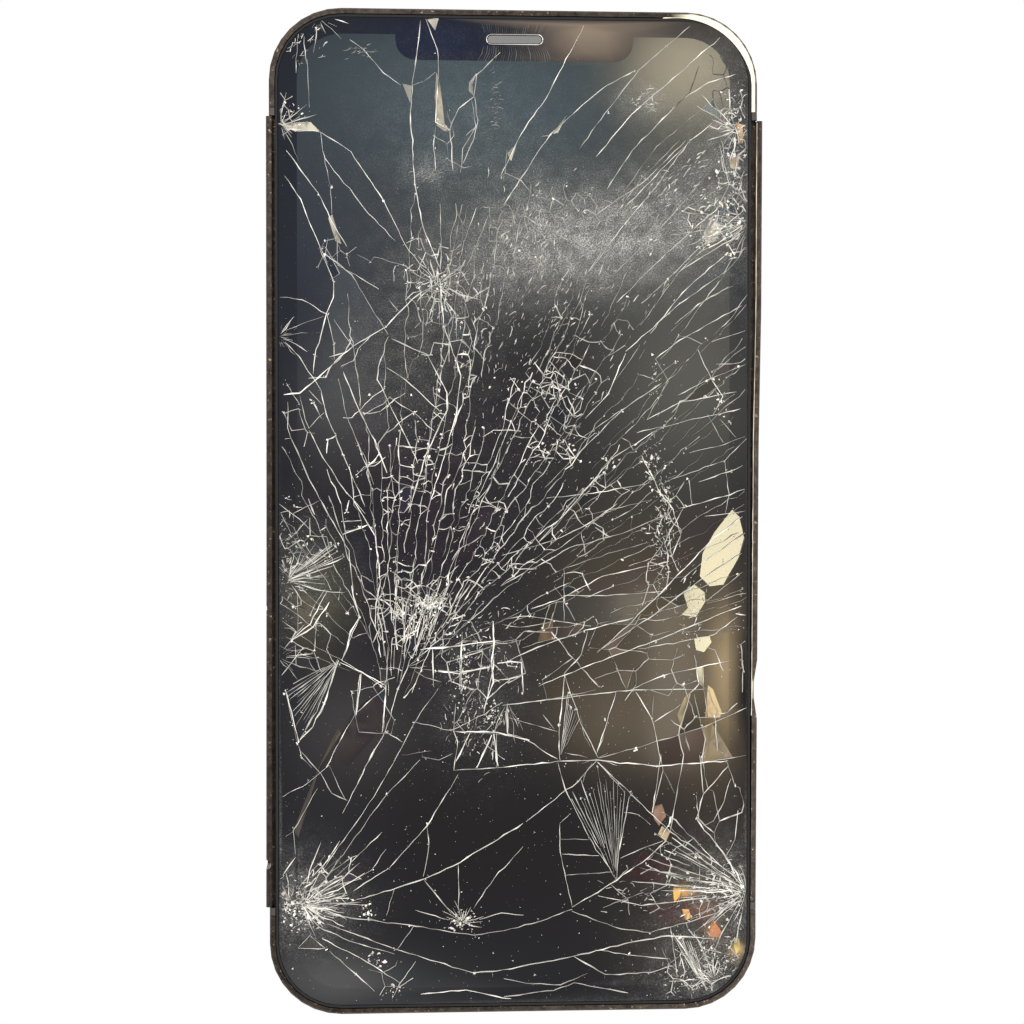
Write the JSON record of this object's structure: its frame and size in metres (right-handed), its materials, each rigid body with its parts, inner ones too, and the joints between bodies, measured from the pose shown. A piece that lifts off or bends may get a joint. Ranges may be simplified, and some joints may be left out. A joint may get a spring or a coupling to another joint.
{
  "type": "smartphone with a shattered screen",
  "caption": "Flat-sided notch smartphone with a shattered, still-bonded front glass, sprung and dented side rails, side buttons, ring switch and pull-out card tray",
  "frame": {"origin": "Middle of the flat outer face of the back glass; the camera island stands below it", "axes": "+Z out of the screen, +Y towards the earpiece end, +X to the right of someone looking at the screen"},
  "size_m": [0.0729, 0.1466, 0.0089],
  "materials": {
    "cracked_glass": "gloss black glass with white crack lines",
    "gasket_plastic": "matte black",
    "mesh_grey": "fine grey mesh",
    "worn_frame": "worn dark coating with bare flecks",
    "break_plastic": "satin dark",
    "button_metal": "worn satin",
    "inner_plastic": "matte",
    "inner_metal": "satin",
    "panel_black": "gloss black",
    "copper": "bare copper",
    "back_glass": "gloss graphite glass",
    "flash_lens": "clear amber",
    "ring_metal": "polished dark",
    "lens_glass": "coated lens",
    "battery_wrap": "matte black wrap",
    "board": "solder mask",
    "screw_metal": "plated"
  },
  "bodies": {
    "chassis": {"cover_glass": "cracked_glass", "display_gasket": "gasket_plastic", "earpiece_mesh": "mesh_grey", "top_band": "worn_frame", "bottom_band": "worn_frame", "left_rail": "worn_frame", "right_rail": "worn_frame", "antenna_break_top_left": "break_plastic", "antenna_break_top_right": "break_plastic", "antenna_break_bottom_left": "break_plastic", "antenna_break_bottom_right": "break_plastic", "power_dome": "inner_plastic", "volume_up_dome": "inner_plastic", "volume_down_dome": "inner_plastic", "ring_contact": "inner_plastic", "sim_reader": "inner_metal", "display_panel": "panel_black", "display_backing": "inner_metal", "display_cable": "copper", "earpiece_speaker": "inner_plastic", "front_camera": "inner_plastic", "face_sensor": "inner_plastic", "back_glass": "back_glass", "flash_window": "flash_lens", "lens_ring_upper": "ring_metal", "lens_ring_lower": "ring_metal", "lens_window_upper": "lens_glass", "lens_window_lower": "lens_glass", "camera_upper": "inner_plastic", "camera_lower": "inner_plastic", "mid_plate": "inner_metal", "charging_coil": "copper", "battery": "battery_wrap", "main_board": "board", "board_shield_upper": "inner_metal", "board_shield_lower": "inner_metal", "charging_socket": "inner_metal", "charging_board": "board", "loudspeaker": "inner_plastic", "vibration_motor": "inner_metal", "bottom_screw_left": "screw_metal", "bottom_screw_right": "screw_metal"},
    "power": {"power_button": "button_metal"},
    "volume_up": {"volume_up_button": "button_metal"},
    "volume_down": {"volume_down_button": "button_metal"},
    "ring": {"ring_switch": "button_metal"},
    "tray": {"sim_tray": "button_metal"}
  },
  "joints": [
    {"name": "power_button_press", "type": "slide", "parent": "chassis", "child": "power", "axis": [-1, 0, 0], "range_m": [0, 0.0003], "stiffness_N_per_m": 1500},
    {"name": "volume_up_press", "type": "slide", "parent": "chassis", "child": "volume_up", "axis": [1, 0, 0], "range_m": [0, 0.0003], "stiffness_N_per_m": 1500},
    {"name": "volume_down_press", "type": "slide", "parent": "chassis", "child": "volume_down", "axis": [1, 0, 0], "range_m": [0, 0.0003], "stiffness_N_per_m": 1500},
    {"name": "ring_switch_slide", "type": "slide", "parent": "chassis", "child": "ring", "axis": [0, 0, -1], "range_m": [0, 0.001]},
    {"name": "sim_tray_slide", "type": "slide", "parent": "chassis", "child": "tray", "axis": [-1, 0, 0], "range_m": [0, 0.0195]}
  ]
}
